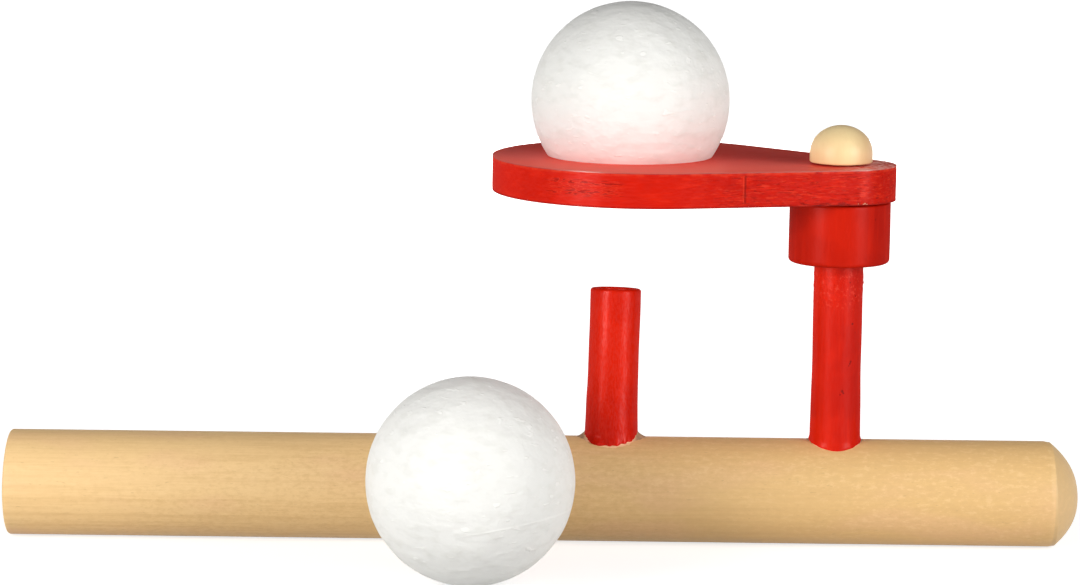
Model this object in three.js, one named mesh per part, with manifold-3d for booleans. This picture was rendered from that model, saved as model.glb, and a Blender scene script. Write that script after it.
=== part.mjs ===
// Blow ball pipe toy: a wooden pipe that is blown into at one end, a short tube that turns the
// breath upwards, and a post that carries a swinging plate whose hole holds a light ball above
// the tube. A second ball lies beside the pipe.
//
// Millimetres, +Z up. The origin is on the pipe's axis in the middle of the hand's grip, and +X
// runs along the pipe from the mouth end to the tip.

import * as THREE from "three";
import { mergeVertices } from "three/addons/utils/BufferGeometryUtils.js";
import Module from "manifold-3d";

const wasm = await Module();
wasm.setup();

// Pipe: a dowel bored from the mouth end, with a blunt cone at the other end
const pipeDiameter = 21.2;
const pipeBodyLength = 209.3; // mouth face to the start of the cone
const coneLength = 5.4;
const tipDiameter = 10.6;
const pipeEdgeRound = 1.1;
const tipEdgeRound = 1.0;
const boreDiameter = 8;
const boreMouthRound = 0.6;
const boreOverrun = 3; // how far the bore runs on past the tube's air hole
const drillPointLength = 2.4;
const gripReach = 60; // mouth face to the middle of the grip

// Blow tube: short and open. It leans a little towards the post, and more towards the back
const tubeDiameter = 10.15;
const tubeBoreDiameter = 7;
const tubeLipRound = 0.75;
const tubeReach = 121; // mouth face to where the tube's axis crosses the pipe's axis
const tubeTopHeight = 40.5; // above the pipe's axis, along the tube
const tubeLeanToPostDegrees = 1.25;
const tubeLeanBackDegrees = 5;
const tubeSeatLedge = 0.8; // wood left between the bore and the tube's seat

// Post: a dowel glued into the pipe, bored at its top for the pivot peg
const postDiameter = 9.8;
const postReach = 166.2; // mouth face to the post's axis
const postSocketDepth = 8.5;
const postEdgeRound = 0.4;

// Collar: a turned ring round the top of the post, which the plate turns on
const collarDiameter = 20.1;
const collarHeight = 12.3;
const collarEdgeRound = 1;
const collarUndersideHeight = 46.75; // above the pipe's axis

// Plate: a wide round end with the ball's hole, and a narrow round end on the pivot
const plateThickness = 6.95;
const plateWideRadius = 30.6;
const plateNarrowRadius = 11;
const plateWideReach = 40.3; // pivot to the middle of the wide round
const plateEdgeRound = 0.8;
const ballHoleDiameter = 33.2;
const ballHoleReach = 43.35; // pivot to the middle of the ball's hole
const plateSwingDegrees = -15.3; // the plate stands swung back from over the tube

// Pivot peg: a domed head, and a shank that the plate turns on
const shankDiameter = 5.6;
const shankDepthInPost = 10;
const headDiameter = 12.5;
const headRimHeight = 1.9;
const headDomeHeight = 5.5;
const headEdgeRound = 0.3;

// Balls: two alike, of light foam
const ballDiameter = 40;
const spareBallReach = 94.1; // mouth face to the spare ball, along the pipe
const spareBallAside = 40; // the pipe's axis to the spare ball, across the pipe

// Clearances, and how far a cutter runs past what it cuts
const glueGap = 0.3; // round a piece that is glued in its socket
const seatGap = 0.3; // under a piece that rests on another
const pivotClearance = 0.35; // between the peg's shank and the plate, all round
const headClearance = 0.4; // between the plate and the head over it
const cutOverrun = 2;

// Facets: how many flats a turned piece has, and how many steps a rounded edge
const pipeFacets = 48;
const dowelFacets = 36;
const ballFacets = 40;
const ballRings = 20;
const arcSteps = 3;
const domeSteps = 8;
const outlineSteps = 18;

// Places that follow from the sizes above
const pipeRadius = pipeDiameter / 2;
const boreRadius = boreDiameter / 2;
const ballRadius = ballDiameter / 2;
const mouthX = -gripReach;
const tubeX = mouthX + tubeReach;
const postX = mouthX + postReach;
const tubeLeanToPost = THREE.MathUtils.degToRad(tubeLeanToPostDegrees);
const tubeLeanBack = THREE.MathUtils.degToRad(tubeLeanBackDegrees);
const tubeSeatHeight = boreRadius + tubeSeatLedge;
const boreLength = tubeReach + tubeDiameter / 2 + boreOverrun;
const postFootHeight = pipeRadius - postSocketDepth;
const collarTopHeight = collarUndersideHeight + collarHeight;
const plateUndersideHeight = collarTopHeight + seatGap;
const plateTopHeight = plateUndersideHeight + plateThickness;

const finishes = {
  paleWood: new THREE.MeshStandardMaterial({ color: "#dfbb86", roughness: 0.55, metalness: 0 }),
  creamWood: new THREE.MeshStandardMaterial({ color: "#f6dca6", roughness: 0.5, metalness: 0 }),
  redPaint: new THREE.MeshStandardMaterial({ color: "#d9241a", roughness: 0.35, metalness: 0 }),
  whiteFoam: new THREE.MeshStandardMaterial({ color: "#f4f3f0", roughness: 0.9, metalness: 0 }),
};

// A quarter round of a turned profile, as points from one angle to another about a centre
function arcPoints(centreRadius, centreHeight, round, fromDegrees, toDegrees, steps = arcSteps) {
  const points = [];
  for (let step = 0; step <= steps; step += 1) {
    const share = step / steps;
    const angle = THREE.MathUtils.degToRad(fromDegrees + (toDegrees - fromDegrees) * share);
    const radius = centreRadius + round * Math.cos(angle);
    points.push(new THREE.Vector2(radius, centreHeight + round * Math.sin(angle)));
  }
  return points;
}

// A turned solid about +Z from a profile of radius and height that runs from its foot upwards
// outside and, on a hollow piece, down again inside
function turned(profile, facets) {
  const geometry = new THREE.LatheGeometry(profile, facets);
  geometry.rotateX(Math.PI / 2);
  return geometry;
}

// A plain round bar about +Z, used as a cutter
function bar(radius, fromHeight, toHeight, facets = dowelFacets) {
  const geometry = new THREE.CylinderGeometry(radius, radius, toHeight - fromHeight, facets);
  geometry.rotateX(Math.PI / 2);
  geometry.translate(0, 0, (fromHeight + toHeight) / 2);
  return geometry;
}

// A geometry with its seams closed, as a solid that can be cut
function solidOf(geometry) {
  const bare = geometry.clone();
  bare.deleteAttribute("normal");
  bare.deleteAttribute("uv");
  const merged = mergeVertices(bare);
  const mesh = new wasm.Mesh({
    numProp: 3,
    vertProperties: new Float32Array(merged.attributes.position.array),
    triVerts: new Uint32Array(merged.index.array),
  });
  return new wasm.Manifold(mesh);
}

// A geometry less a list of cutters
function cut(geometry, cutters) {
  const result = cutters.reduce((solid, cutter) => solid.subtract(solidOf(cutter)), solidOf(geometry));
  const mesh = result.getMesh();
  const positions = new Float32Array(mesh.numVert * 3);
  for (let vertex = 0; vertex < mesh.numVert; vertex += 1) {
    for (let axis = 0; axis < 3; axis += 1) {
      positions[vertex * 3 + axis] = mesh.vertProperties[vertex * mesh.numProp + axis];
    }
  }
  const cutGeometry = new THREE.BufferGeometry();
  cutGeometry.setAttribute("position", new THREE.BufferAttribute(positions, 3));
  cutGeometry.setIndex(new THREE.BufferAttribute(new Uint32Array(mesh.triVerts), 1));
  cutGeometry.computeVertexNormals();
  return cutGeometry;
}

function piece(name, geometry, finish) {
  const mesh = new THREE.Mesh(geometry, finish.clone());
  mesh.name = name;
  return mesh;
}

// The tube's own frame: on the pipe's axis, leaning towards the post and the back
function leanAsTube(geometry) {
  geometry.rotateY(tubeLeanToPost);
  geometry.rotateX(-tubeLeanBack);
  geometry.translate(tubeX, 0, 0);
  return geometry;
}

// The pipe is turned about +Z from the mouth face at height zero, then laid along +X
function makePipe() {
  const tipRadius = tipDiameter / 2;
  const coneAngle = THREE.MathUtils.radToDeg(Math.atan2(pipeRadius - tipRadius, coneLength));
  const tipFaceRadius = tipRadius - tipEdgeRound * Math.tan(THREE.MathUtils.degToRad((90 - coneAngle) / 2));
  const pipeLength = pipeBodyLength + coneLength;
  const profile = [
    new THREE.Vector2(0, boreLength + drillPointLength),
    new THREE.Vector2(boreRadius, boreLength),
    ...arcPoints(boreRadius + boreMouthRound, boreMouthRound, boreMouthRound, 180, 270),
    ...arcPoints(pipeRadius - pipeEdgeRound, pipeEdgeRound, pipeEdgeRound, 270, 360),
    new THREE.Vector2(pipeRadius, pipeBodyLength),
    ...arcPoints(tipFaceRadius, pipeLength - tipEdgeRound, tipEdgeRound, coneAngle, 90),
    new THREE.Vector2(0, pipeLength),
  ];
  const blank = turned(profile, pipeFacets);
  blank.rotateY(Math.PI / 2);
  blank.translate(mouthX, 0, 0);

  const tubeSocketRadius = tubeDiameter / 2 + glueGap;
  const above = pipeRadius + cutOverrun;
  const tubeSocket = leanAsTube(bar(tubeSocketRadius, tubeSeatHeight, above));
  const airHole = leanAsTube(bar(tubeBoreDiameter / 2, 0, above));
  const postSocket = bar(postDiameter / 2 + glueGap, postFootHeight - glueGap, above);
  postSocket.translate(postX, 0, 0);
  return piece("pipe", cut(blank, [tubeSocket, airHole, postSocket]), finishes.paleWood);
}

function makeBlowTube() {
  const outer = tubeDiameter / 2;
  const inner = tubeBoreDiameter / 2;
  const foot = tubeSeatHeight + glueGap;
  const lipRound = Math.min(tubeLipRound, (outer - inner) / 2);
  const lipHeight = tubeTopHeight - lipRound;
  const profile = [
    new THREE.Vector2(inner, foot),
    new THREE.Vector2(outer, foot),
    ...arcPoints(outer - lipRound, lipHeight, lipRound, 0, 90),
    ...arcPoints(inner + lipRound, lipHeight, lipRound, 90, 180),
    new THREE.Vector2(inner, foot),
  ];
  return piece("blow_tube", leanAsTube(turned(profile, dowelFacets)), finishes.redPaint);
}

function makePost() {
  const radius = postDiameter / 2;
  const pegHoleRadius = shankDiameter / 2 + glueGap;
  const pegHoleFloor = collarTopHeight - shankDepthInPost - glueGap;
  const profile = [
    new THREE.Vector2(0, postFootHeight),
    ...arcPoints(radius - postEdgeRound, postFootHeight + postEdgeRound, postEdgeRound, 270, 360),
    ...arcPoints(radius - postEdgeRound, collarTopHeight - postEdgeRound, postEdgeRound, 0, 90),
    new THREE.Vector2(pegHoleRadius, collarTopHeight),
    new THREE.Vector2(pegHoleRadius, pegHoleFloor),
    new THREE.Vector2(0, pegHoleFloor),
  ];
  const post = piece("post", turned(profile, dowelFacets), finishes.redPaint);
  post.position.x = postX;
  return post;
}

function makeCollar() {
  const outer = collarDiameter / 2 - collarEdgeRound;
  const inner = postDiameter / 2 + glueGap;
  const profile = [
    new THREE.Vector2(inner, collarUndersideHeight),
    ...arcPoints(outer, collarUndersideHeight + collarEdgeRound, collarEdgeRound, 270, 360),
    ...arcPoints(outer, collarTopHeight - collarEdgeRound, collarEdgeRound, 0, 90),
    new THREE.Vector2(inner, collarTopHeight),
    new THREE.Vector2(inner, collarUndersideHeight),
  ];
  const collar = piece("collar", turned(profile, dowelFacets), finishes.redPaint);
  collar.position.x = postX;
  return collar;
}

// Two rounds joined by their common tangents. The pivot is at the origin and the wide end at -X
function plateOutline() {
  const slope = Math.asin((plateWideRadius - plateNarrowRadius) / plateWideReach);
  const outline = new THREE.Shape();
  outline.absarc(0, 0, plateNarrowRadius, slope - Math.PI / 2, Math.PI / 2 - slope, false);
  outline.absarc(-plateWideReach, 0, plateWideRadius, Math.PI / 2 - slope, slope - Math.PI / 2, false);
  outline.closePath();
  for (const [centreX, radius] of [
    [-ballHoleReach, ballHoleDiameter / 2],
    [0, shankDiameter / 2 + pivotClearance],
  ]) {
    const hole = new THREE.Path();
    hole.absarc(centreX, 0, radius, 0, 2 * Math.PI, true);
    outline.holes.push(hole);
  }
  return outline;
}

function makePlate() {
  const geometry = new THREE.ExtrudeGeometry(plateOutline(), {
    depth: plateThickness - 2 * plateEdgeRound,
    steps: 1,
    curveSegments: outlineSteps,
    bevelEnabled: true,
    bevelSize: plateEdgeRound,
    bevelThickness: plateEdgeRound,
    bevelOffset: -plateEdgeRound,
    bevelSegments: arcSteps,
  });
  geometry.translate(0, 0, plateEdgeRound);
  return piece("plate", geometry, finishes.redPaint);
}

// How far the middle of a ball lies above the plate when it rests on the hole's rounded edge
function ballRise() {
  const reach = ballRadius + plateEdgeRound + seatGap;
  const across = ballHoleDiameter / 2 + plateEdgeRound;
  return Math.sqrt(reach * reach - across * across) - plateEdgeRound;
}

function makeBall(name) {
  return piece(name, new THREE.SphereGeometry(ballRadius, ballFacets, ballRings), finishes.whiteFoam);
}

function makePivotPeg() {
  const shankRadius = shankDiameter / 2;
  const headRadius = headDiameter / 2;
  const headFoot = plateTopHeight + headClearance;
  const domeFoot = headFoot + headRimHeight;
  const profile = [
    new THREE.Vector2(0, collarTopHeight - shankDepthInPost),
    new THREE.Vector2(shankRadius, collarTopHeight - shankDepthInPost),
    new THREE.Vector2(shankRadius, headFoot),
    ...arcPoints(headRadius - headEdgeRound, headFoot + headEdgeRound, headEdgeRound, 270, 360),
  ];
  for (let step = 0; step < domeSteps; step += 1) {
    const angle = (step / domeSteps) * (Math.PI / 2);
    const radius = headRadius * Math.cos(angle);
    profile.push(new THREE.Vector2(radius, domeFoot + headDomeHeight * Math.sin(angle)));
  }
  profile.push(new THREE.Vector2(0, domeFoot + headDomeHeight));
  const peg = piece("pivot_peg", turned(profile, dowelFacets), finishes.creamWood);
  peg.position.x = postX;
  return peg;
}

// The plate and the ball in its hole turn together about the post's axis
function makeSwingingPlate() {
  const ball = makeBall("ball");
  ball.position.set(-ballHoleReach, 0, plateThickness + ballRise());
  const swing = new THREE.Group();
  swing.add(makePlate(), ball);
  swing.position.set(postX, 0, plateUndersideHeight);
  swing.rotation.z = THREE.MathUtils.degToRad(plateSwingDegrees);
  return swing;
}

// The spare ball lies on the surface that the pipe lies on
function makeSpareBall() {
  const ball = makeBall("spare_ball");
  ball.position.set(mouthX + spareBallReach, -spareBallAside, ballRadius - pipeRadius);
  return ball;
}

const toy = new THREE.Group();
toy.add(makePipe(), makeBlowTube(), makePost(), makeCollar());
toy.add(makePivotPeg(), makeSwingingPlate(), makeSpareBall());

export default toy;
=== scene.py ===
"""Looks of a wooden pipe toy with a foam ball that floats on the breath.

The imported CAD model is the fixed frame. Every piece here is modelled in millimetres in that same
frame, stands for the CAD node of its place, and rides on that node's body.
"""

from __future__ import annotations

import logging
import math
from dataclasses import dataclass, field
from enum import Enum
from typing import Any, Callable, Iterable

import bmesh
import bpy
from mathutils import Matrix, Vector, noise

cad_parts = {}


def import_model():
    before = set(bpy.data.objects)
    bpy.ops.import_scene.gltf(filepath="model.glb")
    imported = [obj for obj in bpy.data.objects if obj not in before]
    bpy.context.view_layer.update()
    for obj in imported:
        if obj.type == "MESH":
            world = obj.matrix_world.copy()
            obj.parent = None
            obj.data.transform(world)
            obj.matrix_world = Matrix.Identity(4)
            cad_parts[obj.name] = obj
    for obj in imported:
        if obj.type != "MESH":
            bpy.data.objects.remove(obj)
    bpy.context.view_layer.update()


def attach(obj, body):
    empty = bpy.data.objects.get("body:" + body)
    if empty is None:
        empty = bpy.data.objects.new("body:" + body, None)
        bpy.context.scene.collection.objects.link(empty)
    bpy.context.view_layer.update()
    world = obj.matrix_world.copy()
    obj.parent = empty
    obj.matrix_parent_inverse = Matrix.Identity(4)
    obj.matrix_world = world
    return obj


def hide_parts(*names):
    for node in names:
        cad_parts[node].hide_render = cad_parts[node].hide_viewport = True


LOG = logging.getLogger("blow_ball_pipe")
MM = 0.001

Point = tuple[float, float, float]
Colour = tuple[float, float, float]
Range = tuple[float, float]
Span = tuple[float, float, float, float]
Spot = tuple[float, float, float, float]
EdgeTest = Callable[[Vector, Vector], bool]

UPWARDS: Point = (0.0, 0.0, 1.0)
DOWNWARDS: Point = (0.0, 0.0, -1.0)
TO_NOSE: Point = (1.0, 0.0, 0.0)
TO_MOUTH: Point = (-1.0, 0.0, 0.0)

PIPE_RADIUS = 10.6
SKIN_DEPTH = 1.0
LEVEL_SLACK = 0.02
RADIUS_SLACK = 0.05
FACING_COSINE = 0.9


class Grain(Enum):
    """The direction that the grain under the paint follows."""

    UPRIGHT = "upright"
    LEVEL = "level"


class Body(Enum):
    """The CAD bodies that pieces ride on."""

    PIPE_AND_POST = "pipe_and_post"
    SWING_PLATE = "swing_plate"
    FLOATING_BALL = "floating_ball"
    LOOSE_BALL = "loose_ball"


class Slot(Enum):
    """The record's material slots."""

    PALE_WOOD = "pale_wood"
    RED_TUBE = "red_tube"
    RED_POST = "red_post"
    RED_COLLAR = "red_collar"
    RED_PLATE = "red_plate"
    CREAM_WOOD = "cream_wood"
    WHITE_FOAM = "white_foam"


def metres(lengths: Iterable[float]) -> tuple[float, ...]:
    """Turn lengths from millimetres into metres."""
    return tuple(length * MM for length in lengths)


def ramp(value: float, low: float, high: float) -> float:
    """Map the range from low to high evenly onto 0 to 1, and hold it beyond."""
    return min(max((value - low) / (high - low), 0.0), 1.0)


# Shader graph


class Field:
    """A socket of a node tree that Python's operators work on."""

    def __init__(self, graph: "Graph", socket: bpy.types.NodeSocket) -> None:
        """Wrap one output socket of a graph."""
        self.graph = graph
        self.socket = socket

    def _math(self, operation: str, *values: Any) -> "Field":
        """Add a Math node for numbers or fields, and return its value."""
        return self.graph.add("ShaderNodeMath", {"operation": operation}, dict(enumerate(values)))

    def __add__(self, other: Any) -> "Field":
        """Return self + other."""
        return self._math("ADD", self, other)

    def __radd__(self, other: Any) -> "Field":
        """Return other + self."""
        return self._math("ADD", other, self)

    def __sub__(self, other: Any) -> "Field":
        """Return self - other."""
        return self._math("SUBTRACT", self, other)

    def __rsub__(self, other: Any) -> "Field":
        """Return other - self."""
        return self._math("SUBTRACT", other, self)

    def __mul__(self, other: Any) -> "Field":
        """Return self * other."""
        return self._math("MULTIPLY", self, other)

    def __rmul__(self, other: Any) -> "Field":
        """Return other * self."""
        return self._math("MULTIPLY", other, self)

    def __truediv__(self, other: Any) -> "Field":
        """Return self / other."""
        return self._math("DIVIDE", self, other)

    def __rtruediv__(self, other: Any) -> "Field":
        """Return other / self."""
        return self._math("DIVIDE", other, self)

    def __pow__(self, other: Any) -> "Field":
        """Return self to the power of other."""
        return self._math("POWER", self, other)

    def __rpow__(self, other: Any) -> "Field":
        """Return other to the power of self."""
        return self._math("POWER", other, self)

    def __abs__(self) -> "Field":
        """Return self without its sign."""
        return self._math("ABSOLUTE", self)

    def over(self, low: float, high: float) -> "Field":
        """Map the range from low, which may be the higher, to high smoothly onto 0 to 1."""
        settings = {"interpolation_type": "SMOOTHSTEP"}
        return self.graph.add("ShaderNodeMapRange", settings, {0: self, 1: low, 2: high})

    def within(self, low: float, inner_low: float, inner_high: float, high: float) -> "Field":
        """Return 1 between the inner two values, and fade to 0 at the outer two."""
        return self.over(low, inner_low) * self.over(high, inner_high)


class Graph:
    """The node tree of one material or of the world."""

    def __init__(self, owner: bpy.types.ID) -> None:
        """Empty the owner's node tree.

        Args:
            owner: A material or a world.
        """
        owner.use_nodes = True
        self.tree = owner.node_tree
        self.tree.nodes.clear()

    def node(self, kind: str, settings: dict[str, Any], inputs: dict[Any, Any]) -> bpy.types.Node:
        """Add a node, with its settings first and its sockets after them.

        Args:
            kind: The node's type name.
            settings: Its properties.
            inputs: Values, or fields to link, by socket name or number.

        Returns:
            The node.
        """
        made = self.tree.nodes.new(kind)
        for name, value in settings.items():
            setattr(made, name, value)
        for key, value in inputs.items():
            socket = made.inputs[key]
            if isinstance(value, Field):
                self.tree.links.new(value.socket, socket)
            elif socket.type == "RGBA":
                socket.default_value = (*value, 1.0)
            else:
                socket.default_value = value
        return made

    def add(
        self,
        kind: str,
        settings: dict[str, Any] | None = None,
        inputs: dict[Any, Any] | None = None,
        output: Any = 0,
    ) -> Field:
        """Add a node and return one of its outputs.

        Args:
            kind: The node's type name.
            settings: Its properties.
            inputs: Values, or fields to link, by socket name or number.
            output: The output's name or number.

        Returns:
            The output as a field.
        """
        made = self.node(kind, settings or {}, inputs or {})
        return Field(self, made.outputs[output])

    def place(self) -> Field:
        """Return the object coordinates in millimetres."""
        here = self.add("ShaderNodeTexCoord", output="Object")
        return self.scaled(here, (1 / MM,) * 3)

    def scaled(self, vector: Field, factors: Point) -> Field:
        """Multiply a vector's three numbers by three factors."""
        return self.add("ShaderNodeVectorMath", {"operation": "MULTIPLY"}, {0: vector, 1: factors})

    def shifted(self, vector: Field, shift: Point) -> Field:
        """Add three numbers to a vector."""
        return self.add("ShaderNodeVectorMath", {"operation": "ADD"}, {0: vector, 1: shift})

    def turned(self, vector: Field, degrees: float) -> Field:
        """Turn a vector about the upright axis."""
        inputs = {"Vector": vector, "Rotation": (0.0, 0.0, math.radians(degrees))}
        return self.add("ShaderNodeMapping", {}, inputs)

    def measure(self, operation: str, vector: Field, other: Point) -> Field:
        """Return the number that a vector operation on a vector and three numbers gives."""
        inputs = {0: vector, 1: other}
        return self.add("ShaderNodeVectorMath", {"operation": operation}, inputs, "Value")

    def split(self, vector: Field) -> tuple[Field, Field, Field]:
        """Return a vector's three numbers as fields."""
        made = self.node("ShaderNodeSeparateXYZ", {}, {0: vector})
        return tuple(Field(self, socket) for socket in made.outputs)

    def cloud(
        self, vector: Field, scale: float | Point, detail: float = 2.0, rough: float = 0.5
    ) -> Field:
        """Return noise from 0 to 1.

        Args:
            vector: Where it is read.
            scale: Its waves for each unit of the vector, as one number or one for each axis.
            detail: How many finer layers it has.
            rough: How strong those are.

        Returns:
            The noise.
        """
        if isinstance(scale, tuple):
            vector, scale = self.scaled(vector, scale), 1.0
        inputs = {"Vector": vector, "Scale": scale, "Detail": detail, "Roughness": rough}
        return self.add("ShaderNodeTexNoise", {}, inputs)

    def cell_edges(self, vector: Field, scale: float) -> Field:
        """Return the distance to the nearest edge of a pattern of cells."""
        settings = {"feature": "DISTANCE_TO_EDGE"}
        return self.add("ShaderNodeTexVoronoi", settings, {"Vector": vector, "Scale": scale})

    def spots(self, here: Field, spots: Iterable[Spot]) -> Any:
        """Mark a few small round spots.

        Args:
            here: The place in millimetres.
            spots: The X, Y and Z of each spot and its radius.

        Returns:
            1 in the middle of a spot, and 0 away from all of them.
        """
        total: Any = 0.0
        for *centre, radius in spots:
            away = self.measure("DISTANCE", here, tuple(centre))
            total = away.over(radius, radius * 0.35) + total
        return total

    def layers(self, colour: Any, *coats: tuple[Any, Any]) -> Field:
        """Lay colours over a first one, in order.

        Args:
            colour: The first colour, or a field.
            coats: Pairs of a share, from 0 to 1 or a field, and a colour or a field.

        Returns:
            The blended colour.
        """
        for share, coat in coats:
            inputs = {0: share, 6: colour, 7: coat}
            colour = self.add("ShaderNodeMix", {"data_type": "RGBA"}, inputs, 2)
        return colour

    def skin(self, colour: Field, rough: Field, specular: float, height: Field) -> dict[str, Any]:
        """Return the shader's sockets for a surface.

        Args:
            colour: Its colour.
            rough: Its roughness.
            specular: The strength of its own reflection.
            height: Its relief in millimetres.

        Returns:
            The values and fields by socket name.
        """
        relief = {"Strength": 1.0, "Distance": MM, "Height": height}
        return {
            "Base Color": colour,
            "Roughness": rough,
            "Specular IOR Level": specular,
            "Normal": self.add("ShaderNodeBump", {}, relief),
        }


# Finishes


@dataclass(frozen=True)
class Finish:
    """What a surface is made of."""

    def sockets(self, graph: Graph, here: Field) -> dict[str, Any]:
        """Return the shader's values and fields by socket name.

        Args:
            graph: The material's graph.
            here: The place in millimetres.

        Returns:
            The values and fields.
        """
        raise NotImplementedError

    def material(self, name: str) -> bpy.types.Material:
        """Build the material.

        Args:
            name: The material's name.

        Returns:
            The material.
        """
        made = bpy.data.materials.new(name)
        graph = Graph(made)
        shader = graph.add("ShaderNodeBsdfPrincipled", {}, self.sockets(graph, graph.place()))
        graph.node("ShaderNodeOutputMaterial", {}, {"Surface": shader})
        return made


@dataclass(frozen=True)
class PaleWood(Finish):
    """Fine-grained pale hardwood, sanded and left bare, with its grain along the pipe."""

    light: Colour = (0.885, 0.612, 0.300)
    dark: Colour = (0.735, 0.470, 0.208)
    pink: Colour = (0.850, 0.525, 0.300)
    pale: Colour = (0.950, 0.680, 0.360)
    amber: Colour = (0.790, 0.512, 0.215)
    fleck: Colour = (0.52, 0.31, 0.14)
    end_grain: Colour = (0.69, 0.470, 0.235)
    end_from: float = 149.45
    aged: Range = (10.0, 125.0)
    roughness: float = 0.50
    specular: float = 0.36
    ring_pith: Range = (34.0, -57.0)
    ring_width: float = 3.1
    ring_wander: float = 5.0

    def _late_wood(self, graph: Graph, here: Field) -> Field:
        """Return 1 on the dark late wood of the year rings, and 0 between them.

        Args:
            graph: The material's graph.
            here: The place in millimetres.

        Returns:
            The share of late wood.
        """
        _, across, up = graph.split(here)
        drift = graph.cloud(here, (0.012, 0.06, 0.06), 3.0)
        aside, above = across - self.ring_pith[0], up - self.ring_pith[1]
        radius = (aside * aside + above * above) ** 0.5
        ring = (radius + drift * self.ring_wander) / self.ring_width
        phase = graph.add("ShaderNodeMath", {"operation": "FRACT"}, {0: ring})
        return phase.within(0.45, 0.97, 0.97, 1.0)

    def sockets(self, graph: Graph, here: Field) -> dict[str, Any]:
        """Return the wood's streaks, fibres, figure, glints, flecks, end grain and a painted
        highlight along the cone's base edge.

        Args:
            graph: The material's graph.
            here: The place in millimetres.

        Returns:
            The values and fields by socket name.
        """
        along = graph.split(here)[0]
        streaks = graph.cloud(here, (0.035, 1.2, 1.2), 4.0, 0.65)
        fibres = graph.cloud(here, (0.22, 3.6, 3.6), 3.0, 0.6)
        figure = graph.cloud(here, (0.62, 1.25, 1.25), 3.0, 0.72)
        lively = graph.cloud(here, (0.022, 0.06, 0.06)).over(0.36, 0.60)
        glitter = graph.cloud(here, (0.65, 2.6, 2.6), 2.0, 0.6)
        patches = graph.cloud(here, (0.035, 0.11, 0.11))
        dashes = graph.cloud(here, (0.75, 3.6, 3.6), 1.0).over(0.71, 0.77)
        pores = graph.cloud(here, 0.9, 3.0, 0.6)
        shade = self._late_wood(graph, here) * 0.15
        shade = shade + streaks.over(0.42, 0.68) * 0.34 + fibres.over(0.38, 0.75) * 0.14
        end = along - self.end_from
        colour = graph.layers(
            self.light,
            (along.over(*self.aged) * 0.85, self.amber),
            (shade, self.dark),
            (patches.over(0.48, 0.68) * 0.40, self.pink),
            (figure.over(0.48, 0.64) * (0.14 + lively * 0.26), self.dark),
            (figure.over(0.46, 0.36) * (0.10 + lively * 0.20), self.pale),
            (glitter.over(0.60, 0.70) * (0.05 + lively * 0.13), self.pale),
            (dashes * 0.35, self.fleck),
            # painted highlight: a light line along the cone's base edge
            (end.over(-1.0, -0.1) * 0.15, self.pale),
            (end.over(0.0, 0.45) * (0.35 + pores * 0.8), self.end_grain),
        )
        height = fibres * 0.014 + figure * 0.030 - dashes * 0.020
        return graph.skin(
            colour, self.roughness + (fibres - 0.5) * 0.16, self.specular, height
        )


@dataclass(frozen=True)
class RedPaint(Finish):
    """Satin red paint on wood, whose grain and pits show through."""

    grain: Grain = Grain.UPRIGHT
    red: Colour = (0.705, 0.0120, 0.0022)
    deep: Colour = (0.54, 0.0075, 0.0016)
    bright: Colour = (0.76, 0.0210, 0.0050)
    # dark colour of pits; the plate also lays it as painted shade on its low edge and in its crease
    pit_and_shade: Colour = (0.20, 0.003, 0.002)
    roughness: float = 0.45
    gloss: float = 0.029
    gloss_roughness: float = 0.29
    gloss_index: float = 4.0
    glow: float = 0.08
    streaky: float = 0.20
    brushed: float = 0.30
    grain_fineness: float = 2.6
    grain_length: float = 0.16
    grain_depth: float = 0.012
    pit_share: float = 0.79
    pits: tuple[Spot, ...] = ()
    deeper_towards: Point = TO_NOSE
    deeper_between: Range = (1000.0, 1001.0)
    turn: float = 0.0

    def _fineness(self) -> Point:
        """Return how fine the grain is along X, Y and Z."""
        fine, long = self.grain_fineness, self.grain_length
        return (fine, fine, long) if self.grain is Grain.UPRIGHT else (long, fine * 0.5, fine)

    def _gloss(self, graph: Graph, here: Field, turned: Field) -> Field:
        """Return the strength of the paint's shine, which breaks up into strokes.

        Args:
            graph: The material's graph.
            here: The place in millimetres; not used.
            turned: The place in line with the grain.

        Returns:
            The strength.
        """
        factors = tuple(factor + 0.25 for factor in self._fineness())
        strokes = graph.cloud(turned, factors, 2.0, 0.6).over(0.36, 0.64)
        return strokes * (self.gloss * self.streaky * 1.6) + self.gloss * (1.0 - self.streaky * 0.8)

    def _details(
        self, graph: Graph, here: Field, turned: Field, colour: Field, height: Field
    ) -> tuple[Field, Field]:
        """Return the colour and height with what this paint has besides its grain."""
        return colour, height

    def sockets(self, graph: Graph, here: Field) -> dict[str, Any]:
        """Return the paint's tone, strokes, grain, pits and shine.

        Args:
            graph: The material's graph.
            here: The place in millimetres.

        Returns:
            The values and fields by socket name.
        """
        turned = graph.turned(here, self.turn) if self.turn else here
        factors = self._fineness()
        grain = graph.cloud(turned, factors, 4.0, 0.6)
        brush = graph.cloud(turned, tuple(factor * 0.35 for factor in factors))
        pores = graph.cloud(turned, tuple(factor * 0.55 + 0.35 for factor in factors), 1.0)
        tone = graph.cloud(here, 0.09, 3.0)
        lumps = graph.cloud(here, 1.1)
        pitted = pores.over(self.pit_share, self.pit_share + 0.05) + graph.spots(here, self.pits)
        # way darkens the paint towards one side or end; on the tube, the post and the collar this
        # is painted shade
        way = graph.measure("DOT_PRODUCT", here, self.deeper_towards)
        colour = graph.layers(
            self.red,
            (tone.over(0.42, 0.62) * 0.4 + way.over(*self.deeper_between) * 0.8, self.deep),
            (brush.over(0.48, 0.70) * self.brushed, self.bright),
            (pitted * 0.85, self.pit_and_shade),
        )
        height = grain * self.grain_depth + brush * 0.020 + lumps * 0.012 - pitted * 0.05
        colour, height = self._details(graph, here, turned, colour, height)
        return graph.skin(colour, self.roughness + (grain - 0.5) * 0.2, 0.0, height) | {
            "Metallic": self.glow,
            "Coat Weight": self._gloss(graph, here, turned),
            "Coat Roughness": self.gloss_roughness,
            "Coat IOR": self.gloss_index,
        }


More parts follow.
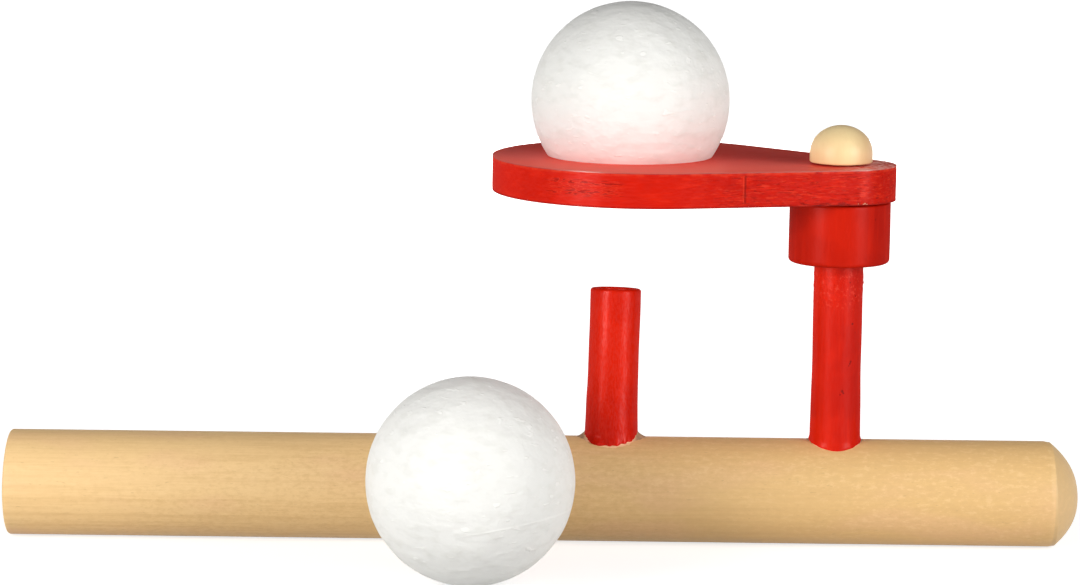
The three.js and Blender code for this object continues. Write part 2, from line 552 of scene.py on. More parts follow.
@dataclass(frozen=True)
class PlatePaint(RedPaint):
    """The board's paint: brushed along the grain, pitted in front, and paler on top with painted
    sheen.
    """

    grain: Grain = Grain.LEVEL
    turn: float = 15.3
    gloss: float = 0.021
    streaky: float = 0.40
    brushed: float = 0.45
    grain_depth: float = 0.020
    red: Colour = (0.685, 0.0120, 0.0022)
    deep: Colour = (0.51, 0.0075, 0.0016)
    # lighter red of worn streaks and lips; also a painted highlight on the crease's ridge and the
    # top edge
    worn_and_highlight: Colour = (0.76, 0.055, 0.020)
    # painted sheen: a pale top colour for the grazing shine, and a lighter one for the top's front
    # half
    top_with_painted_sheen: Colour = (0.62, 0.036, 0.022)
    painted_front_sheen: Colour = (0.97, 0.100, 0.062)
    scuffed: Colour = (0.95, 0.42, 0.36)
    bare: Colour = (0.84, 0.50, 0.33)
    top: float = 66.30
    top_gloss: float = 9.4
    top_crown: float = 0.095
    middle_line: float = 28.02
    narrowing: Range = (62.14, 102.44)
    half_widths: Range = (30.6, 11.0)
    rough_grain: Range = (71.0, 85.0)
    patch_along: Span = (46.5, 50.0, 60.5, 64.0)
    patch_up: Span = (60.9, 62.0, 64.2, 65.3)
    patch_rows: tuple[Span, Span] = ((61.0, 61.5, 62.4, 62.9), (63.5, 63.8, 64.4, 64.8))
    ragged_along: Span = (94.0, 97.0, 106.5, 108.5)
    ragged_below: Range = (60.35, 59.75)
    # painted shade: the span over which the low edge darkens
    shaded_low_edge: Range = (59.85, 59.42)
    crease: float = 86.55
    crease_up: Span = (60.0, 60.6, 65.2, 65.9)
    scuffed_from: Range = (104.0, 111.0)
    chips: tuple[Spot, ...] = (
        (108.7, -10.9, 59.58, 0.15), (109.0, -10.75, 59.68, 0.18), (110.0, -10.4, 59.60, 0.17),
        (110.3, -10.25, 59.70, 0.22), (110.7, -10.05, 59.56, 0.15),
    )

    def _aside(self, graph: Graph, turned: Field) -> tuple[Field, Field]:
        """Measure the board across.

        Args:
            graph: The material's graph.
            turned: The place in line with the grain.

        Returns:
            How far off its middle line a point of the board is, and half its width there.
        """
        along, across, _ = graph.split(turned)
        wide, slim = self.half_widths
        return across - self.middle_line, wide - along.over(*self.narrowing) * (wide - slim)

    def _gloss(self, graph: Graph, here: Field, turned: Field) -> Field:
        """Return the strength of the shine, more on the top's front half.

        Args:
            graph: The material's graph.
            here: The place in millimetres.
            turned: The place in line with the grain.

        Returns:
            The strength.
        """
        aside, half = self._aside(graph, turned)
        front = (aside / half).over(0.5, -0.85)
        flat = graph.split(here)[2].over(self.top - 0.3, self.top - 0.02)
        strength = super()._gloss(graph, here, turned)
        return strength + flat * (front * self.top_gloss + 0.4) * self.gloss

    def _details(
        self, graph: Graph, here: Field, turned: Field, colour: Field, height: Field
    ) -> tuple[Field, Field]:
        """Add the brushed streaks, the pitted patch, the crease with painted shade and highlight,
        the painted highlight on the top edge, the painted shade on the low edge and the chips.

        Args:
            graph: The material's graph.
            here: The place in millimetres.
            turned: The place in line with the grain.
            colour: The colour so far.
            height: The height so far.

        Returns:
            The new colour and height.
        """
        along, across, up = graph.split(here)
        rough = along.over(*self.rough_grain)
        streaks = graph.cloud(turned, (0.16, 0.8, 3.4), 3.0, 0.65)
        scars = graph.cloud(turned, (0.48, 0.9, 3.3), 2.0, 0.6)
        patch = along.within(*self.patch_along) * up.within(*self.patch_up) * across.over(2.0, -4.0)
        lower, upper = (up.within(*row) for row in self.patch_rows)
        ragged = up.over(*self.ragged_below) * along.within(*self.ragged_along)
        ragged = ragged * across.over(0.0, -4.0)
        scarred = scars.over(0.55, 0.60) * patch * ((lower + upper) * 0.75 + 0.25)
        scarred = scarred + scars.over(0.60, 0.66) * rough * 0.6 + scars.over(0.50, 0.56) * ragged
        lips = scars.within(0.46, 0.50, 0.53, 0.56) * patch
        # the crease: painted shade in its groove and a painted highlight on the ridge beside it,
        # both also shaped in the bump
        ahead = across.over(-8.0, -12.0) * up.within(*self.crease_up)
        shaded_groove = abs(along - self.crease).over(0.26, 0.04) * ahead
        ridge = abs(along - self.crease + 0.38).over(0.24, 0.04) * ahead
        # painted highlight along the rounded top edge
        rim = up.within(self.top - 0.75, self.top - 0.42, self.top - 0.14, self.top - 0.01)
        highlit_top_rim = rim * graph.cloud(turned, 0.5, 3.0).over(0.34, 0.6)
        flat = up.over(self.top - 0.12, self.top - 0.01)
        aside, half = self._aside(graph, turned)
        # painted sheen on the top face, lighter on its front half
        top = graph.layers(self.top_with_painted_sheen, ((aside / half).over(0.30, -0.85), self.painted_front_sheen))
        scuffs = graph.cloud(turned, 0.9, 2.0, 0.6).over(0.36, 0.58) * flat
        chipped = graph.spots(here, self.chips)
        colour = graph.layers(
            colour,
            (streaks.over(0.53, 0.64) * (0.12 + rough * 0.60), self.deep),
            (streaks.over(0.46, 0.36) * (0.04 + rough * 0.34), self.worn_and_highlight),
            (scarred * 0.45, self.pit_and_shade),
            # painted shade along the board's low edge
            (up.over(*self.shaded_low_edge) * 0.55, self.pit_and_shade),
            (lips * 0.40, self.worn_and_highlight),
            # painted shade in the crease's groove and painted highlight on its ridge
            (shaded_groove * 0.55, self.pit_and_shade),
            (ridge * 0.35, self.worn_and_highlight),
            # painted highlight on the top edge
            (highlit_top_rim * 0.45, self.worn_and_highlight),
            (flat, top),
            (scuffs * along.over(*self.scuffed_from) * 0.90, self.scuffed),
            (chipped * 0.8, self.bare),
        )
        height = height + streaks * (0.02 + rough * 0.05) - scarred * 0.09 - shaded_groove * 0.12
        crown = flat * (aside * aside / half * self.top_crown)
        return colour, height + ridge * 0.05 - chipped * 0.06 - crown


@dataclass(frozen=True)
class PostPaint(RedPaint):
    """The post's paint, mottled in a band below the collar."""

    speckle: Colour = (0.84, 0.075, 0.045)
    band: Span = (36.5, 39.5, 44.0, 47.0)

    def _details(
        self, graph: Graph, here: Field, turned: Field, colour: Field, height: Field
    ) -> tuple[Field, Field]:
        """Add the mottled band.

        Args:
            graph: The material's graph.
            here: The place in millimetres.
            turned: The place in line with the grain; not used.
            colour: The colour so far.
            height: The height so far.

        Returns:
            The new colour and height.
        """
        band = graph.split(here)[2].within(*self.band)
        mottled = graph.cloud(here, 1.5, 2.0, 0.6)
        colour = graph.layers(
            colour,
            (mottled.over(0.56, 0.66) * band * 0.42, self.speckle),
            (mottled.over(0.44, 0.36) * band * 0.35, self.deep),
        )
        return colour, height + mottled * band * 0.10


@dataclass(frozen=True)
class CreamWood(Finish):
    """Smooth cream-coloured turned wood, with its grain upright as in a peg."""

    light: Colour = (0.955, 0.745, 0.405)
    dark: Colour = (0.86, 0.60, 0.30)
    # painted shade: the colour and the span of the peg's darker right side
    shaded_side: Colour = (0.70, 0.43, 0.225)
    shaded_side_between: Range = (107.0, 112.8)
    roughness: float = 0.40
    specular: float = 0.38

    def sockets(self, graph: Graph, here: Field) -> dict[str, Any]:
        """Return the peg's grain, patches and its right side darkened with painted shade.

        Args:
            graph: The material's graph.
            here: The place in millimetres.

        Returns:
            The values and fields by socket name.
        """
        grain = graph.cloud(here, (1.5, 0.9, 0.22), 4.0, 0.6)
        patches = graph.cloud(here, 0.16)
        fine = graph.cloud(here, (5.0, 5.0, 1.2))
        colour = graph.layers(
            self.light,
            (grain.over(0.42, 0.75) * 0.22, self.dark),
            (patches.over(0.45, 0.62) * 0.30, self.dark),
            # painted shade: the peg darkens towards its right side
            (graph.split(here)[0].over(*self.shaded_side_between) * 0.85, self.shaded_side),
        )
        rough = self.roughness + (fine - 0.5) * 0.14
        return graph.skin(colour, rough, self.specular, grain * 0.008 + fine * 0.006)


@dataclass(frozen=True)
class TornWood(Finish):
    """Torn fibres round a socket: light in front, and darkened at its two sides with painted shade.
    """

    place: float
    radius: float
    fresh: Colour = (0.98, 0.62, 0.36)
    dull: Colour = (0.22, 0.150, 0.098)
    specular: float = 0.3

    def sockets(self, graph: Graph, here: Field) -> dict[str, Any]:
        """Return the torn fibres and the two sides darkened with painted shade.

        Args:
            graph: The material's graph.
            here: The place in millimetres.

        Returns:
            The values and fields by socket name.
        """
        fibres = graph.cloud(here, (0.7, 3.5, 3.5), 3.0, 0.6)
        patches = graph.cloud(here, 0.75)
        off = abs(graph.split(here)[0] - self.place)
        beside = off.over(self.radius * 0.86, self.radius * 1.12)
        colour = graph.layers(
            self.fresh,
            # painted shade: the burr's two sides are darkened as shaded wood; the dull colour also
            # marks some fibres below
            (beside * (0.45 + patches * 0.6), self.dull),
            (fibres.over(0.55, 0.75) * 0.35, self.dull),
        )
        height = fibres * 0.12 + patches * 0.10
        return graph.skin(colour, 0.55 + fibres * 0.3, self.specular, height)


@dataclass(frozen=True)
class WhiteFoam(Finish):
    """Expanded foam of fused beads, matt and white, with one ball's centre, seam and marks."""

    centre: Point
    seam_normal: Point
    seam_level: float
    shift: Point
    white: Colour = (0.905, 0.912, 0.902)
    dull: Colour = (0.80, 0.805, 0.78)
    bright: Colour = (0.97, 0.975, 0.965)
    roughness: float = 0.58
    specular: float = 0.32
    beads: float = 0.42

    def sockets(self, graph: Graph, here: Field) -> dict[str, Any]:
        """Return the foam's smears, dents, flakes painted bright as glints, beads and mould seam.

        Args:
            graph: The material's graph.
            here: The place in millimetres.

        Returns:
            The values and fields by socket name.
        """
        inside = graph.shifted(here, tuple(-value for value in self.centre))
        axis = tuple(Vector(self.seam_normal).normalized())
        off = abs(graph.measure("DOT_PRODUCT", inside, axis) - self.seam_level)
        ridge = off.over(0.34, 0.05) * graph.split(inside)[0].over(-3.0, 5.0)
        spot = graph.shifted(inside, self.shift)
        smears = graph.cloud(spot, (0.26, 0.26, 0.52))
        dents = graph.cloud(spot, 0.30, 2.0, 0.45)
        glinting_flakes = graph.cloud(spot, (0.42, 0.42, 1.0), 1.0).over(0.66, 0.74)
        fused = graph.cell_edges(spot, self.beads).over(0.12, 0.0)
        colour = graph.layers(
            self.white,
            (smears.over(0.46, 0.72) * 0.48, self.dull),
            # painted highlight: the raised flakes are lightened as glints
            (glinting_flakes, self.bright),
            (ridge * 0.6, self.bright),
        )
        height = dents * 0.36 + smears * 0.22 + glinting_flakes * 0.065 - fused * 0.005 + ridge * 0.05
        rough = self.roughness + (dents - 0.5) * 0.4
        return graph.skin(colour, rough, self.specular, height)


# Modelling by hand


@dataclass(frozen=True)
class Axis:
    """The middle line of a round piece."""

    start: Point
    along: Point = UPWARDS

    def spot(self, height: float) -> Point:
        """Return the place at a height along the axis."""
        return tuple(start + along * height for start, along in zip(self.start, self.along))

    def reach(self, point: Vector) -> tuple[float, Vector]:
        """Measure a point from the axis.

        Args:
            point: The point.

        Returns:
            Its height along the axis, and its spoke from the axis.
        """
        offset, along = point - Vector(self.start), Vector(self.along)
        height = offset.dot(along)
        return height, offset - along * height

    def ring(self, height: float, radius: float) -> EdgeTest:
        """Return a test for the edges of a circle about the axis.

        Args:
            height: The circle's height along the axis.
            radius: Its radius.

        Returns:
            The test of an edge's two ends.
        """

        def on_circle(end: Vector) -> bool:
            """Tell whether a point lies on the circle."""
            level, spoke = self.reach(end)
            return abs(level - height) < LEVEL_SLACK and abs(spoke.length - radius) < RADIUS_SLACK

        return lambda first, second: on_circle(first) and on_circle(second)

    def run(self, length: float) -> EdgeTest:
        """Return a test for edges that run along the axis for more than half a length."""
        return lambda first, second: (
            abs(self.reach(first)[0] - self.reach(second)[0]) > length / 2
        )


def leaning(aside: float, back: float) -> Point:
    """Return the direction of an axis that leans aside and back by two angles in degrees."""
    side, rear = math.radians(aside), math.radians(back)
    return (math.sin(side), math.sin(rear) * math.cos(side), math.cos(rear) * math.cos(side))


def anywhere(point: Vector) -> bool:
    """Accept every point."""
    return True


PIPE_AXIS = Axis((0.0, 0.0, 0.0), TO_NOSE)
TUBE_AXIS = Axis((61.0, 0.0, 0.0), leaning(1.25, 5.0))
POST_AXIS = Axis((106.2, 0.0, 0.0))


class Workpiece:
    """One new mesh on the bench. All lengths given to it are in millimetres."""

    def __init__(self, name: str, primitive: Callable[..., Any], **options: Any) -> None:
        """Add a primitive and apply its place.

        Args:
            name: The piece's name.
            primitive: The operator that adds it.
            options: The operator's options, in metres and radians.
        """
        self._leave_edit()
        bpy.ops.object.select_all(action="DESELECT")
        primitive(**options)
        self.object = bpy.context.object
        self.object.name = name
        self.object.data.name = name
        bpy.ops.object.transform_apply(location=True, rotation=True, scale=True)

    @classmethod
    def rod(
        cls, name: str, axis: Axis, low: float, high: float, radius: float, sides: int
    ) -> "Workpiece":
        """Start from a capped cylinder.

        Args:
            name: The piece's name.
            axis: Its axis.
            low: The height of its one end along the axis.
            high: The height of its other end.
            radius: Its radius.
            sides: How many sides it has.

        Returns:
            The workpiece.
        """
        return cls(
            name, bpy.ops.mesh.primitive_cylinder_add, vertices=sides, radius=radius * MM,
            depth=(high - low) * MM, end_fill_type="NGON",
            location=metres(axis.spot((low + high) / 2)),
            rotation=Vector(axis.along).to_track_quat("Z", "Y").to_euler(),
        )

    @staticmethod
    def _leave_edit() -> None:
        """Go back to object mode, if a piece is being edited."""
        if bpy.context.object is not None and bpy.context.object.mode != "OBJECT":
            bpy.ops.object.mode_set(mode="OBJECT")

    def _only(self) -> None:
        """Select this piece alone, in object mode."""
        self._leave_edit()
        bpy.ops.object.select_all(action="DESELECT")
        self.object.select_set(True)
        bpy.context.view_layer.objects.active = self.object

    def _select(self, kind: str, wanted: Callable[[Any], bool]) -> "Workpiece":
        """Select some faces or edges in edit mode, and nothing else.

        Args:
            kind: FACE or EDGE.
            wanted: A test of a bmesh face or edge.

        Returns:
            This workpiece.
        """
        if self.object.mode != "EDIT":
            self._only()
            bpy.ops.object.mode_set(mode="EDIT")
        bpy.ops.mesh.select_mode(type=kind)
        bpy.ops.mesh.select_all(action="DESELECT")
        mesh = bmesh.from_edit_mesh(self.object.data)
        for element in mesh.faces if kind == "FACE" else mesh.edges:
            element.select_set(wanted(element))
        mesh.select_flush_mode()
        bmesh.update_edit_mesh(self.object.data)
        return self

    def everything(self) -> "Workpiece":
        """Select all faces, and return this workpiece."""
        return self._select("FACE", lambda face: True)

    def facing(self, *ways: Point, within: Callable[[Vector], bool] = anywhere) -> "Workpiece":
        """Select the faces that look in some directions.

        Args:
            ways: The directions.
            within: A test of a face's centre, in millimetres.

        Returns:
            This workpiece.
        """

        def wanted(face: bmesh.types.BMFace) -> bool:
            """Tell whether a face looks one of the ways and its centre passes."""
            looks = any(face.normal.dot(Vector(way)) > FACING_COSINE for way in ways)
            return looks and within(face.calc_center_median() / MM)

        return self._select("FACE", wanted)

    def edges(self, wanted: EdgeTest) -> "Workpiece":
        """Select the edges whose two ends, in millimetres, pass a test."""
        return self._select("EDGE", lambda edge: wanted(*(end.co / MM for end in edge.verts)))

    def extrude(self, *move: float) -> "Workpiece":
        """Extrude the selected faces by X, Y and Z, and return this workpiece."""
        bpy.ops.mesh.extrude_region_move(TRANSFORM_OT_translate={"value": metres(move)})
        return self

    def inset(self, width: float) -> "Workpiece":
        """Inset the selected faces by a width, and return this workpiece."""
        bpy.ops.mesh.inset(thickness=width * MM, depth=0.0)
        return self

    def resize(self, factors: Point, centre: Point) -> "Workpiece":
        """Resize what is selected about a point, and return this workpiece."""
        bpy.ops.transform.resize(value=factors, center_override=metres(centre))
        return self

    def subdivide(self, cuts: int) -> "Workpiece":
        """Cut the selected edges a number of times, and return this workpiece."""
        bpy.ops.mesh.subdivide(number_cuts=cuts)
        return self

    def round_rings(self, axis: Axis, *rings: tuple[float, float, float, int]) -> "Workpiece":
        """Round circular edges about an axis.

        Args:
            axis: The axis.
            rings: The height, the radius, the rounding and its steps, for each circle.

        Returns:
            This workpiece.
        """
        for height, radius, width, steps in rings:
            self.edges(axis.ring(height, radius))
            bpy.ops.mesh.bevel(offset=width * MM, segments=steps, profile=0.5, affect="EDGES")
        return self

    def tunnel(self, axis: Axis, wall: float) -> "Workpiece":
        """Open a rod from end to end.

        Args:
            axis: The rod's axis.
            wall: How thick a wall stays.

        Returns:
            This workpiece.
        """
        self.facing(UPWARDS, DOWNWARDS).inset(wall)
        self.facing(
            UPWARDS, DOWNWARDS, within=lambda centre: axis.reach(centre)[1].length < wall / 2
        )
        bpy.ops.mesh.bridge_edge_loops()
        return self

    def sculpt(self, mover: Callable[[Vector], Vector]) -> "Workpiece":
        """Move every vertex by a rule.

        Args:
            mover: Gives a vertex's new place from its place, in millimetres.

        Returns:
            This workpiece.
        """
        self._leave_edit()
        for vertex in self.object.data.vertices:
            vertex.co = mover(vertex.co / MM) * MM
        self.object.data.update()
        return self

    def _modify(self, kind: str, **options: Any) -> "Workpiece":
        """Apply a modifier.

        Args:
            kind: The modifier's type.
            options: Its properties.

        Returns:
            This workpiece.
        """
        self._only()
        modifier = self.object.modifiers.new(kind.lower(), kind)
        for name, value in options.items():
            setattr(modifier, name, value)
        bpy.ops.object.modifier_apply(modifier=modifier.name)
        return self

    def cut(self, *tools: "Workpiece") -> "Workpiece":
        """Cut other workpieces out of this one and remove them.

        Args:
            tools: The pieces that are cut out.

        Returns:
            This workpiece.
        """
        for tool in tools:
            self._modify("BOOLEAN", operation="DIFFERENCE", solver="EXACT", object=tool.object)
            bpy.data.objects.remove(tool.object)
        return self

    def join(self, other: "Workpiece") -> "Workpiece":
        """Join another workpiece into this one.

        Args:
            other: The piece that is joined.

        Returns:
            This workpiece.
        """
        self._only()
        other.object.select_set(True)
        bpy.ops.object.join()
        return self

    def soften(self, width: float, steps: int, degrees: float) -> "Workpiece":
        """Round every edge sharper than an angle, and return this workpiece."""
        angle = math.radians(degrees)
        return self._modify(
            "BEVEL", width=width * MM, segments=steps, limit_method="ANGLE", angle_limit=angle
        )

    def deliver(
        self, finish: Finish, surface: str, body: Body, slot: Slot, *nodes: str,
        smooth_degrees: float = 32.0,
    ) -> None:
        """Shade, dress and hang the finished piece on its body.

        Args:
            finish: Its finish.
            surface: The name of its material.
            body: The CAD body that it rides on.
            slot: The record's material slot; not used.
            nodes: The CAD nodes that it stands for.
            smooth_degrees: The sharpest angle that is shaded smooth.
        """
        self._only()
        bpy.ops.object.shade_smooth_by_angle(angle=math.radians(smooth_degrees))
        piece = self.object
        piece.data.materials.clear()
        piece.data.materials.append(finish.material(surface))
        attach(piece, body.value)
        if nodes:
            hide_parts(*nodes)
        LOG.info("%s: %d faces, rides on %s", piece.name, len(piece.data.polygons), body.value)


@dataclass(frozen=True)
class Relief:
    """The fine unevenness of sanded wood under paint."""

    waver: float
    grain: float
    fineness: float = 2.3
    stretch: float = 5.0
    slow_across: float = 0.16
    slow_along: float = 0.13
    seed: float = 0.0

    def lift(self, across: float, aside: float, along: float) -> float:
        """Return how far a point of the surface stands out.

        Args:
            across: Its place across the grain.
            aside: Its other place across the grain.
            along: Its place along the grain.

        Returns:
            The lift in millimetres.
        """
        slow = Vector((
            across * self.slow_across + self.seed,
            aside * self.slow_across,
            along * self.slow_along,
        ))
        fine = Vector((across, aside, along / self.stretch)) * self.fineness
        strength = 0.6 + noise.noise(slow * 2.3 + Vector((9.0, 2.0, 5.0)))
        return self.waver * noise.noise(slow) + self.grain * strength * noise.noise(fine)


def near_pipe(point: Vector, reach: float) -> float:
    """Return 1 on the pipe's round surface, and 0 where it is as far off as the reach."""
    surface = math.sqrt(PIPE_RADIUS**2 - min(point.y**2, 100.0))
    return ramp(abs(point.z - surface), reach, 0.0) ** 2


# Pieces of the toy


@dataclass
class Pipe:
    """The bored dowel with its blunt cone and its two sockets."""

    mouth: float = -60.0
    cone_base: float = 149.3
    tip: float = 154.7
    radius: float = PIPE_RADIUS
    tip_radius: float = 5.3
    tip_steps: int = 6
    nose_power: float = 2.4
    nose_length: float = 5.35
    nose_crown: float = 0.45
    bore_radius: float = 4.0
    bore_end: float = 69.1
    drill_point: float = 2.4
    mouth_round: float = 0.6
    bore_round: float = 0.6
    base_round: float = 0.45
    cone_skew: float = 0.05
    mouth_skew: float = 0.024
    skewed_reach: float = 4.0
    sides: int = 128
    rings: int = 99
    flank_rings: int = 9
    tube_socket_radius: float = 5.14
    tube_seat: float = 5.1
    air_hole_radius: float = 3.5
    post_socket_radius: float = 4.96
    post_foot: float = 2.1
    drill_length: float = 20.0
    drill_sides: int = 96

    def _long_edge(self, first: Vector, second: Vector) -> bool:
        """Tell whether an edge runs the length of the outer surface."""
        lengthways = PIPE_AXIS.run(self.cone_base - self.mouth)(first, second)
        return lengthways and math.hypot(first.y, first.z) > self.tip_radius

    def _flank_edge(self, first: Vector, second: Vector) -> bool:
        """Tell whether an edge runs down the cone's flank."""
        beyond = min(first.x, second.x) > self.cone_base - 2 * self.base_round
        return beyond and PIPE_AXIS.run(self.tip - self.cone_base)(first, second)

    def _cut_askew(self, point: Vector) -> Vector:
        """Round the nose, and move both ends a little, as they were cut slightly askew.

        Args:
            point: A point of the pipe.

        Returns:
            Its new place.
        """
        along = point.x
        if along > self.cone_base:
            share = min(math.hypot(point.y, point.z) / self.radius, 1.0)
            along = self.tip + self.nose_crown - self.nose_length * share**self.nose_power
        cone_share = ramp(along, self.cone_base - self.skewed_reach, self.cone_base - 1.0)
        mouth_share = ramp(along, self.mouth + self.skewed_reach, self.mouth)
        along -= cone_share * self.cone_skew * point.z
        along += mouth_share * self.mouth_skew * max(point.z, 0.0)
        return Vector((along, point.y, point.z))

    def _drills(self) -> list[Workpiece]:
        """Return the drills for the tube's socket, the air hole and the post's socket."""
        return [
            Workpiece.rod(name, axis, foot, foot + self.drill_length, radius, self.drill_sides)
            for name, axis, foot, radius in (
                ("socket_drill", TUBE_AXIS, self.tube_seat, self.tube_socket_radius),
                ("air_drill", TUBE_AXIS, 0.0, self.air_hole_radius),
                ("post_drill", POST_AXIS, self.post_foot, self.post_socket_radius),
            )
        ]

    def build(self, finish: PaleWood) -> None:
        """Model the pipe and dress it.

        Args:
            finish: Its wood.
        """
        pipe = Workpiece.rod(
            "pipe_body", PIPE_AXIS, self.mouth, self.cone_base, self.radius, self.sides
        )
        pipe.facing(TO_NOSE).extrude(self.tip - self.cone_base, 0.0, 0.0)
        shrink = self.tip_radius / self.radius
        pipe.resize((1.0, shrink, shrink), PIPE_AXIS.spot(self.tip))
        for _ in range(self.tip_steps):
            pipe.inset(self.tip_radius / (self.tip_steps + 1))
        pipe.facing(TO_MOUTH).inset(self.radius - self.bore_radius)
        pipe.extrude(self.bore_end - self.mouth, 0.0, 0.0).extrude(self.drill_point, 0.0, 0.0)
        bpy.ops.mesh.merge(type="COLLAPSE")
        pipe.round_rings(
            PIPE_AXIS,
            (self.mouth, self.radius, self.mouth_round, 8),
            (self.mouth, self.bore_radius, self.bore_round, 4),
            (self.cone_base, self.radius, self.base_round, 4),
        )
        pipe.edges(self._long_edge).subdivide(self.rings)
        pipe.edges(self._flank_edge).subdivide(self.flank_rings)
        pipe.sculpt(self._cut_askew).cut(*self._drills())
        pipe.deliver(finish, "pale_wood_grain", Body.PIPE_AND_POST, Slot.PALE_WOOD, "pipe")


@dataclass
class BlowTube:
    """The short red tube over the bore, with its open lip."""

    axis: Axis = TUBE_AXIS
    radius: float = 5.075
    bore_radius: float = 3.5
    foot: float = 5.2
    top: float = 40.5
    lip_round: float = 0.60
    inner_round: float = 0.45
    sides: int = 160
    rings: int = 84
    relief: Relief = Relief(0.09, 0.030)
    flare: float = 0.30
    flare_between: Range = (21.0, 10.0)
    paint_bead: float = 0.15
    paint_bead_tilt: float = 0.6
    paint_rag: float = 0.35
    paint_rag_fineness: float = 0.9
    paint_blob: float = 0.95
    paint_blob_angle: float = math.radians(-125.0)
    paint_blob_width: float = 0.28
    paint_bead_height: float = 1.6

    def _uneven(self, point: Vector) -> Vector:
        """Move a point a little, as on a dowel sanded by hand, with a bead of paint at its foot.

        Args:
            point: A point of the tube.

        Returns:
            Its new place.
        """
        height, spoke = self.axis.reach(point)
        if spoke.length < self.radius - SKIN_DEPTH:
            return point
        off_blob = math.atan2(spoke.y, spoke.x) - self.paint_blob_angle
        off_blob -= math.tau * round(off_blob / math.tau)
        bead = self.paint_bead * (1.0 - self.paint_bead_tilt * spoke.x / self.radius)
        bead += self.paint_blob * math.exp(-((off_blob / self.paint_blob_width) ** 2))
        flat = Vector((spoke.x, spoke.y, 0.0)) * self.paint_rag_fineness
        bead += self.paint_rag * noise.noise(flat + Vector((0.0, 0.0, 5.0)))
        swell = self.relief.lift(spoke.x, spoke.y, height)
        swell += self.flare * ramp(height, *self.flare_between)
        swell += bead * near_pipe(point, self.paint_bead_height)
        return point + spoke * (swell / spoke.length)

    def build(self, finish: RedPaint) -> None:
        """Model the tube and dress it.

        Args:
            finish: Its paint.
        """
        tube = Workpiece.rod(
            "blow_tube_body", self.axis, self.foot, self.top, self.radius, self.sides
        )
        tube.tunnel(self.axis, self.radius - self.bore_radius)
        tube.round_rings(
            self.axis,
            (self.top, self.radius, self.lip_round, 6),
            (self.top, self.bore_radius, self.inner_round, 4),
        )
        tube.edges(self.axis.run(self.top - self.foot)).subdivide(self.rings)
        tube.sculpt(self._uneven)
        tube.deliver(finish, "red_paint_tube", Body.PIPE_AND_POST, Slot.RED_TUBE, "blow_tube")


@dataclass
class Post:
    """The red dowel that carries the collar and the peg."""

    radius: float = 4.9
    foot: float = 2.2
    top: float = 59.05
    peg_hole_radius: float = 2.9
    peg_hole_depth: float = 10.3
    edge_round: float = 0.4
    sides: int = 144
    rings: int = 110
    relief: Relief = Relief(0.06, 0.012, seed=4.0)
    pimple_height: float = 0.30
    pimply_level: float = 42.5
    pimply_reach: float = 5.0
    flare: float = 0.20
    flare_between: Range = (24.0, 10.0)
    paint_bead: float = 0.32
    paint_bead_height: float = 1.2

    def _uneven(self, point: Vector) -> Vector:
        """Move a point a little, as on a dowel under paint that gathers at its foot.

        Args:
            point: A point of the post.

        Returns:
            Its new place.
        """
        spoke = POST_AXIS.reach(point)[1]
        if spoke.length < self.radius - SKIN_DEPTH:
            return point
        pimply = ramp(abs(point.z - self.pimply_level), self.pimply_reach, 0.0)
        swell = self.relief.lift(spoke.x, spoke.y, point.z)
        swell += self.pimple_height * pimply * max(noise.noise(point) - 0.1, 0.0)
        swell += self.flare * ramp(point.z, *self.flare_between)
        swell += self.paint_bead * near_pipe(point, self.paint_bead_height)
        return point + spoke * (swell / spoke.length)

    def build(self, finish: RedPaint) -> None:
        """Model the post and dress it.

        Args:
            finish: Its paint.
        """
        post = Workpiece.rod("post_body", POST_AXIS, self.foot, self.top, self.radius, self.sides)
        post.facing(UPWARDS).inset(self.radius - self.peg_hole_radius)
        post.extrude(0.0, 0.0, -self.peg_hole_depth)
        post.round_rings(
            POST_AXIS,
            (self.top, self.radius, self.edge_round, 3),
            (self.foot, self.radius, self.edge_round, 3),
        )
        post.edges(POST_AXIS.run(self.top - self.foot)).subdivide(self.rings)
        post.sculpt(self._uneven)
        post.deliver(finish, "red_paint_post", Body.PIPE_AND_POST, Slot.RED_POST, "post")


@dataclass
class Collar:
    """The turned ring on the top of the post."""

    radius: float = 10.05
    bore_radius: float = 4.95
    low: float = 46.75
    high: float = 59.05
    low_round: float = 0.75
    high_round: float = 0.45
    sides: int = 224
    rings: int = 30
    relief: Relief = Relief(0.05, 0.004, seed=8.0)

    def _uneven(self, point: Vector) -> Vector:
        """Move a point a little, as on a ring under paint.

        Args:
            point: A point of the collar.

        Returns:
            Its new place.
        """
        spoke = POST_AXIS.reach(point)[1]
        if spoke.length < self.radius - SKIN_DEPTH:
            return point
        return point + spoke * (self.relief.lift(spoke.x, spoke.y, point.z) / spoke.length)

    def build(self, finish: RedPaint) -> None:
        """Model the collar and dress it.

        Args:
            finish: Its paint.
        """
        collar = Workpiece.rod(
            "collar_ring", POST_AXIS, self.low, self.high, self.radius, self.sides
        )
        collar.tunnel(POST_AXIS, self.radius - self.bore_radius)
        collar.round_rings(
            POST_AXIS,
            (self.low, self.radius, self.low_round, 6),
            (self.high, self.radius, self.high_round, 4),
        )
        collar.edges(POST_AXIS.run(self.high - self.low)).subdivide(self.rings)
        collar.sculpt(self._uneven)
        collar.deliver(finish, "red_paint_collar", Body.PIPE_AND_POST, Slot.RED_COLLAR, "collar")


